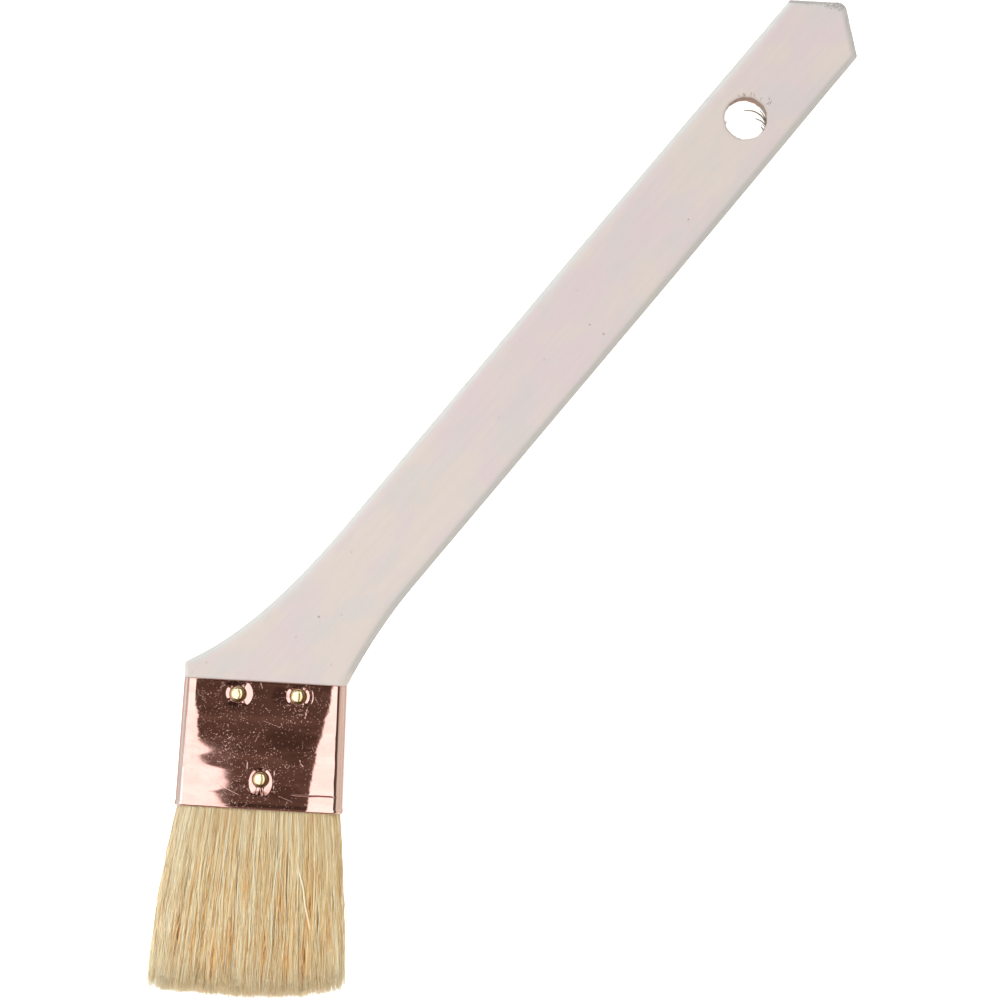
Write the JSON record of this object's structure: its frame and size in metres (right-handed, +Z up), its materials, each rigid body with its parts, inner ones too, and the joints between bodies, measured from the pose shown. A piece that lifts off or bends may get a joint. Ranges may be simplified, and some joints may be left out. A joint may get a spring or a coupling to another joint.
{
  "type": "pastry brush",
  "caption": "Angled flat pastry brush: pale wooden handle with a hanging hole, bright copper-coloured ferrule with round-head nails, and natural bristle that flexes at its root.",
  "frame": {"origin": "on the surface the brush lies on, under the middle of its bounding box", "axes": "+Y along the ferrule from the bristle towards the handle, +Z up out of the front face, +X across the ferrule to the side that the handle leans to"},
  "size_m": [0.1644, 0.2572, 0.0135],
  "materials": {
    "pale_wood": "bare sanded wood, limed pale, faint grain",
    "copper_plate": "thin sheet steel, polished copper plate",
    "brass": "bright round heads",
    "resin": "poured resin, hidden",
    "plug_wood": "rough sawn softwood, hidden",
    "bristle_root": "packed natural bristle",
    "bristle": "blond natural bristle, paler tips"
  },
  "bodies": {
    "brush_body": {"handle": "pale_wood", "ferrule": "copper_plate", "nail_front_left": "brass", "nail_front_right": "brass", "nail_front_lower": "brass", "nail_back_left": "brass", "nail_back_right": "brass", "nail_back_lower": "brass", "setting_resin": "resin", "spacer_plug": "plug_wood", "bristle_root": "bristle_root"},
    "tuft": {"bristle_tuft": "bristle"}
  },
  "joints": [
    {"name": "bristle_flex", "type": "hinge", "parent": "brush_body", "child": "tuft", "pos_m": [-0.05672, -0.08186, 0.00677], "axis": [1, 0, 0], "range_deg": [-30, 30], "stiffness_Nm_per_rad": 0.35}
  ]
}
